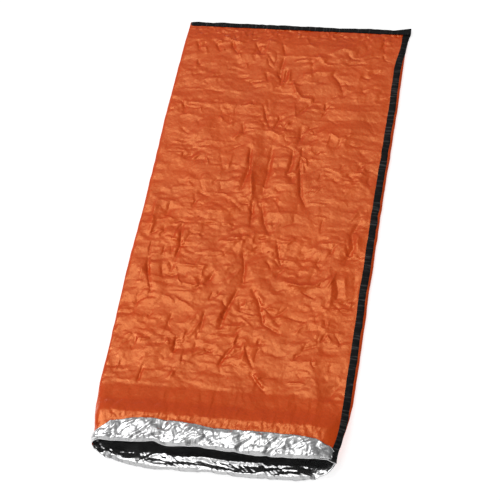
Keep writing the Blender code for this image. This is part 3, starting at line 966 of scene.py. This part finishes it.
TAPE_LINES, TAPE_THICK = 14, 0.0012
TAPE_GAP, TAPE_RIM_SHARE = 0.0002, 0.6  # between tape and film; thickness at its edges, as a share
TAPE_DRIFT = 0.014  # how much nearer the edge the side tape lies at each end
MOUTH_DRIFT_ENDS, FOOT_DRIFT_BEGINS = (0.14, 0.36), (1.84, 1.97)
RIPPLE_HEIGHT, RIPPLE_LENGTH, RIPPLE_WIDTH, TAPE_RIDGE = 0.0005, 0.02, 0.03, 0.0013
OVER_CUFF, OVER_CUFF_ENDS = 0.0062, (0.094, 0.125)  # how high the tape's first end lies, on the cuff
FLARE, FLARE_BEGINS = 0.009, (SEAM_RISE_FROM, LENGTH - 0.012)  # how much wider it is at the foot
TAPE_EDGE_WAVES = ((0.0012, 0.035),)
TAPE_LOWEST = 0.0006


def build_side_tape():
    """The binding along the right side's seam, from the cuff to the foot tape.

    It lies a little in from the edge, and comes out over the edge at the mouth and at the foot.
    """
    along = np.arange(TAPE_START, TAPE_END, TAPE_STEP)[:, None]
    at_mouth, at_foot = 1 - smooth(along, *MOUTH_DRIFT_ENDS), smooth(along, *FOOT_DRIFT_BEGINS)
    width = np.linspace(0, 1, TAPE_LINES)[None]
    around = TAPE_FAR + (TAPE_NEAR - TAPE_FAR) * width - TAPE_DRIFT * (at_mouth + at_foot)
    line = on_section(around, along)
    across = unrolled(line, along)
    along = along + 0 * across
    fade = smooth(np.abs(around), *SIDE_FADE)
    relief = (upper_relief(across, along) + mouth_relief(across, along)) * fade
    relief = relief + (1 - fade) * side_relief(line, along)
    relief = relief + OVER_CUFF * (1 - smooth(along, *OVER_CUFF_ENDS))
    ripple = RIPPLE_HEIGHT * value_noise(along / RIPPLE_LENGTH, across / RIPPLE_WIDTH, 81)
    ripple = ripple + TAPE_RIDGE * packing_ridges(along)
    thick = np.full(TAPE_LINES, TAPE_THICK)
    thick[[0, -1]] = TAPE_RIM_SHARE * TAPE_THICK
    under = film_points(line, along, 1, relief + TAPE_GAP)
    over = film_points(line, along, 1, relief + thick + ripple)
    flare = FLARE * smooth(along, *FLARE_BEGINS) * width**2 + waves(along, 0, 82, TAPE_EDGE_WAVES) * width
    for face in (under, over):
        face[:, :, 0] += flare
        face[:, :, 2] = np.maximum(face[:, :, 2], TAPE_LOWEST)
    return shell("side_tape_woven", over, under, [side_cloth, side_cloth])


# The foot tape's section: share of the way to the far edge, share of the height
FOOT_PROFILE = ((0, 0), (0.5, 0), (0.92, 0.02), (1, 0.3), (1, 0.7), (0.92, 0.98), (0.5, 1), (0, 1))
FOOT_TOP, FOOT_BOTTOM = 0.0076, 0.0003
FOOT_FAR_WAVES, FOOT_TOP_WAVES = ((0.0022, 0.045), (0.0013, 0.016)), ((0.0009, 0.05),)
FOOT_NEAR_WAVES = ((0.0012, 0.030),)
CORNER, CORNER_NEAR, CORNER_FAR = 0.012, 0.008, 0.010  # the left end's rounding
EAR, EAR_OUT, EAR_UP, EAR_UNDER = 0.085, 0.011, 0.006, 0.004  # the right end's ear
FOOT_WALL, SLOT_SHARE = 0.0009, 0.74  # thickness of the far wall; the slot's share of the height


def build_foot_tape():
    """The binding folded over the foot's seam: over the top, down the end and back underneath."""
    first, last = FOOT_TAPE_ENDS
    across = np.arange(first, last, TAPE_STEP)
    rounded = (1 - smooth(across, first, first + CORNER)) ** 2
    ear = smooth(across, last - EAR, last)
    start = SEAM_START + waves(across, 0, 94, FOOT_NEAR_WAVES) + CORNER_NEAR * rounded
    end = LENGTH + waves(across, 0, 91, FOOT_FAR_WAVES) - CORNER_FAR * rounded + EAR_OUT * ear
    top = FOOT_TOP + waves(across, 0, 93, FOOT_TOP_WAVES) + EAR_UP * ear
    bottom = FOOT_BOTTOM + EAR_UNDER * ear
    middle = (top + bottom) / 2
    outer, inner = [], []
    for share, up in FOOT_PROFILE:
        height = bottom + up * (top - bottom)
        outer.append(placed(across, start + share * (end - start), height))
        inside = middle + SLOT_SHARE * (height - middle)
        inner.append(placed(across, start + share * (end - start - FOOT_WALL), inside))
    cloth = [foot_cloth, foot_cloth]
    return shell("foot_tape_woven", np.stack(outer, axis=1), np.stack(inner, axis=1), cloth)


side_tape = build_side_tape()
foot_tape = build_foot_tape()

for piece in (upper, lower, side_tape, foot_tape):
    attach(piece, "root")
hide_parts("bag_film")
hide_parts("bag_film")
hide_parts("side_tape")
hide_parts("foot_tape")

# ---- the room

FLOOR_REACH = 30  # from the middle to each side
floor_mesh = bpy.data.meshes.new("floor")
corners = [(x * FLOOR_REACH, y * FLOOR_REACH, 0) for x, y in ((-1, -1), (1, -1), (1, 1), (-1, 1))]
floor_mesh.from_pydata(corners, [], [(0, 1, 2, 3)])
floor = linked("floor", floor_mesh)
white = {"Base Color": (0.5, 0.5, 0.5, 1), "Emission Color": (1, 1, 1, 1), "Emission Strength": 0.72}
floor_mesh.materials.append(shader_of("floor", {**white, "Roughness": 0.9, "Specular IOR Level": 0.1})[0])

world = bpy.data.worlds.new("studio")
bpy.context.scene.world = world
world.use_nodes = True
tree = world.node_tree
direction = node(tree, "TexCoord").outputs["Generated"]
# Brightness of the two soft lights by the angle from their middle in degrees
OVERHEAD = ((0, 3.20), (8, 2.70), (17, 1.40), (30, 0.62), (46, 0.34), (68, 0.20), (90, 0.10))
IN_FRONT = ((0, 0.60), (18, 0.55), (40, 0.15), (55, 0.0))


def softbox(towards, brightness):
    """Light round one direction, by the angle from it in degrees."""
    towards = Vector(towards).normalized()
    closeness = node(tree, "VectorMath", {0: direction, 1: towards}, operation="DOT_PRODUCT")
    stops = sorted((math.cos(math.radians(angle)), (light, light, light)) for angle, light in brightness)
    return ramp(tree, closeness.outputs["Value"], stops)


overhead = softbox((-0.36, 0.26, 0.90), OVERHEAD)
in_front = softbox((-0.15, -0.85, 0.42), IN_FRONT)
lights = {"Fac": 1.0, "Color1": overhead, "Color2": in_front}
both = node(tree, "MixRGB", lights, blend_type="ADD")
background = tree.nodes["Background"]
tree.links.new(both.outputs[0], background.inputs["Color"])
background.inputs["Strength"].default_value = 1.0


KEY_PLACE, KEY_TARGET = Vector((-2.6, -0.1, 2.2)), Vector((0, -0.4, 0))
key = bpy.data.lights.new("key", "AREA")
key.size = 1.4
key.energy = 17
lamp = linked("key", key)
lamp.location = KEY_PLACE
lamp.rotation_euler = (KEY_TARGET - KEY_PLACE).to_track_quat("-Z", "Y").to_euler()

# ---- the camera

CAMERA_PLACE = (1.2745, -3.540, 5.078)
AZIMUTH, ELEVATION, ROLL = 20.48, 54.06, -13.38  # in degrees
lens = bpy.data.cameras.new("camera")
lens.sensor_width = 36
lens.lens = 121.2
camera = linked("camera", lens)
matrix = Matrix.Translation(CAMERA_PLACE)
for degrees, axis in ((AZIMUTH, "Z"), (90 - ELEVATION, "X"), (ROLL, "Z")):
    matrix = matrix @ Matrix.Rotation(math.radians(degrees), 4, axis)
camera.matrix_world = matrix
bpy.context.scene.camera = camera
bpy.context.scene.view_settings.view_transform = "Standard"
